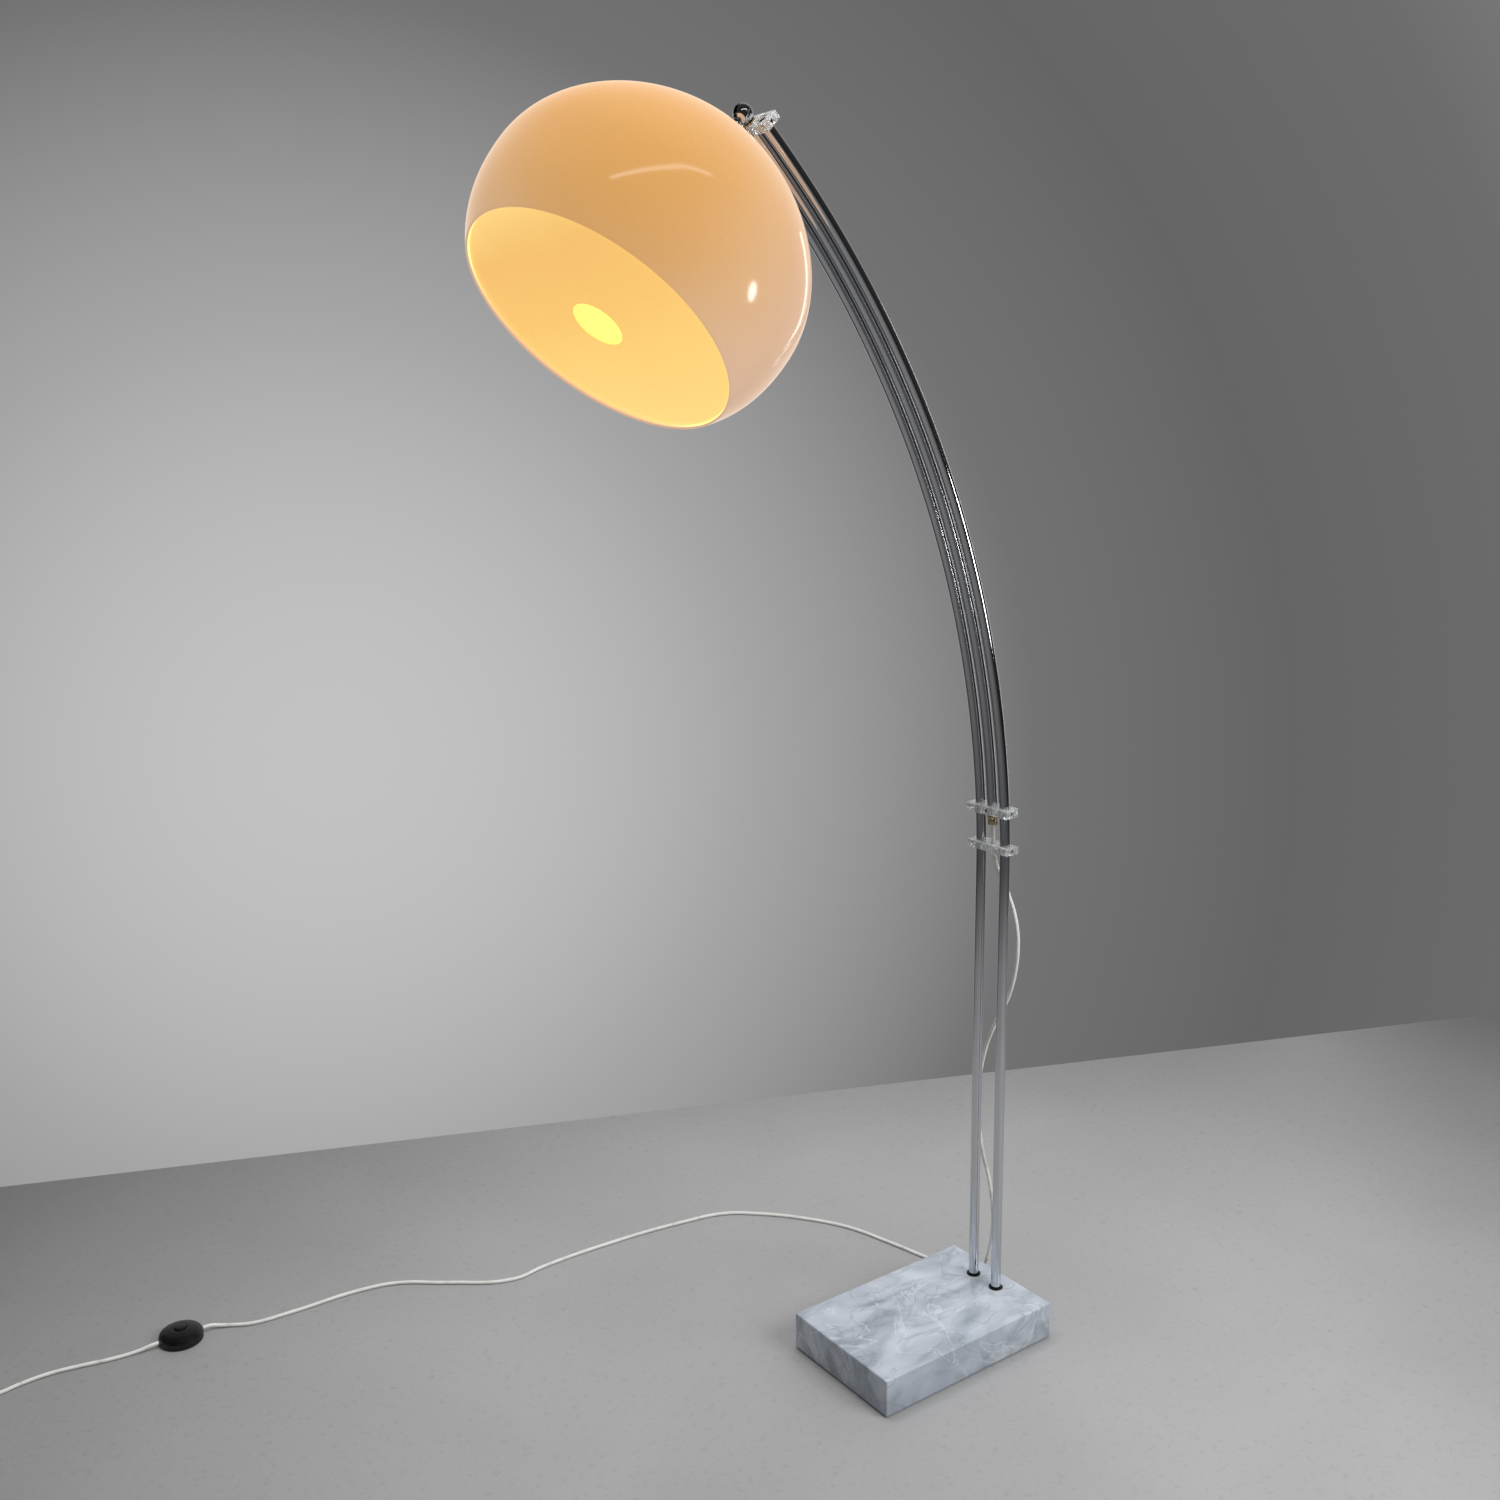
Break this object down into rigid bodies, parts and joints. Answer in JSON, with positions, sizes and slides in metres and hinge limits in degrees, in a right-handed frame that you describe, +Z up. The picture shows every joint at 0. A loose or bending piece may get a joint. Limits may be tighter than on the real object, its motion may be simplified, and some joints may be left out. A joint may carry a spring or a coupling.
{
  "type": "arc floor lamp",
  "caption": "Floor lamp whose chrome tubes rise from a marble block and bend over to hold a dome shade on a swivel ball, with a lead and a foot switch.",
  "frame": {"origin": "centre of the underside of the base, on the floor", "axes": "+Z up; the tubes stand at the +X end of the base and bend over towards -X; +Y is the side that the lead runs off to"},
  "size_m": [1.5414, 1.1223, 1.851],
  "materials": {
    "marble": "polished grey-white marble with soft grey veins",
    "chrome": "mirror chrome plate",
    "steel": "plain bright steel",
    "brass": "aged brass",
    "clear_acrylic": "clear polished acrylic",
    "amber_acrylic": "polished translucent amber acrylic",
    "pale_acrylic": "polished opal acrylic",
    "black_plastic": "fine moulded black",
    "white_plastic": "moulded white",
    "lead": "soft white sheath",
    "ceramic": "glazed white",
    "bulb_glass": "opal glass",
    "felt": "dark pressed felt"
  },
  "bodies": {
    "frame": {"base_felt": "felt", "marble_base": "marble", "base_bolt_left": "steel", "base_bolt_right": "steel", "base_washer_left": "steel", "base_washer_right": "steel", "foot_plug_left": "brass", "foot_plug_right": "brass", "tube_collar_left": "black_plastic", "tube_collar_right": "black_plastic", "tube_left": "chrome", "tube_right": "chrome", "tube_middle": "chrome", "lower_bar": "clear_acrylic", "upper_bar": "clear_acrylic", "top_bar": "clear_acrylic", "lower_bar_screw_left": "steel", "lower_bar_screw_right": "steel", "upper_bar_screw_left": "steel", "upper_bar_screw_right": "steel", "upper_bar_screw_middle": "brass", "top_bar_screw_left": "steel", "top_bar_screw_right": "steel", "top_bar_screw_middle": "brass", "cord_nipple": "brass", "nipple_nut": "brass", "cord_grip": "brass", "cord_grip_screw": "brass", "inner_lead": "lead", "ball_nipple": "brass", "switch_base": "black_plastic", "switch_cover": "black_plastic", "switch_contacts": "ceramic", "cord_to_switch": "lead", "cord_to_coil": "lead", "cord_to_plug": "lead", "cord_coil": "lead", "plug_body": "white_plastic", "plug_pin_left": "brass", "plug_pin_right": "brass"},
    "swivel": {"swivel_ball": "chrome", "pivot_screw": "steel"},
    "shade": {"pivot_tongue": "chrome", "shade_stem": "chrome", "shade_cap": "chrome", "shade_washer": "steel", "shade_nut": "brass", "lampholder_cap": "white_plastic", "lampholder_body": "ceramic", "lampholder_contact": "brass", "bulb_cap": "steel", "bulb_glass": "bulb_glass", "shade_dome": "amber_acrylic", "inner_diffuser": "pale_acrylic"},
    "button": {"switch_button": "black_plastic"}
  },
  "joints": [
    {"name": "shade_swivel", "type": "hinge", "parent": "frame", "child": "swivel", "pos_m": [-0.32214, 0, 1.83786], "axis": [-0.7205, 0, 0.6935], "range_deg": [-165, 165]},
    {"name": "shade_tilt", "type": "hinge", "parent": "swivel", "child": "shade", "pos_m": [-0.32214, 0, 1.83786], "axis": [-0.0629, 0.9959, -0.0653], "range_deg": [0, 90]},
    {"name": "button_press", "type": "slide", "parent": "frame", "child": "button", "axis": [0, 0, -1], "range_m": [0, 0.003], "stiffness_N_per_m": 500}
  ]
}
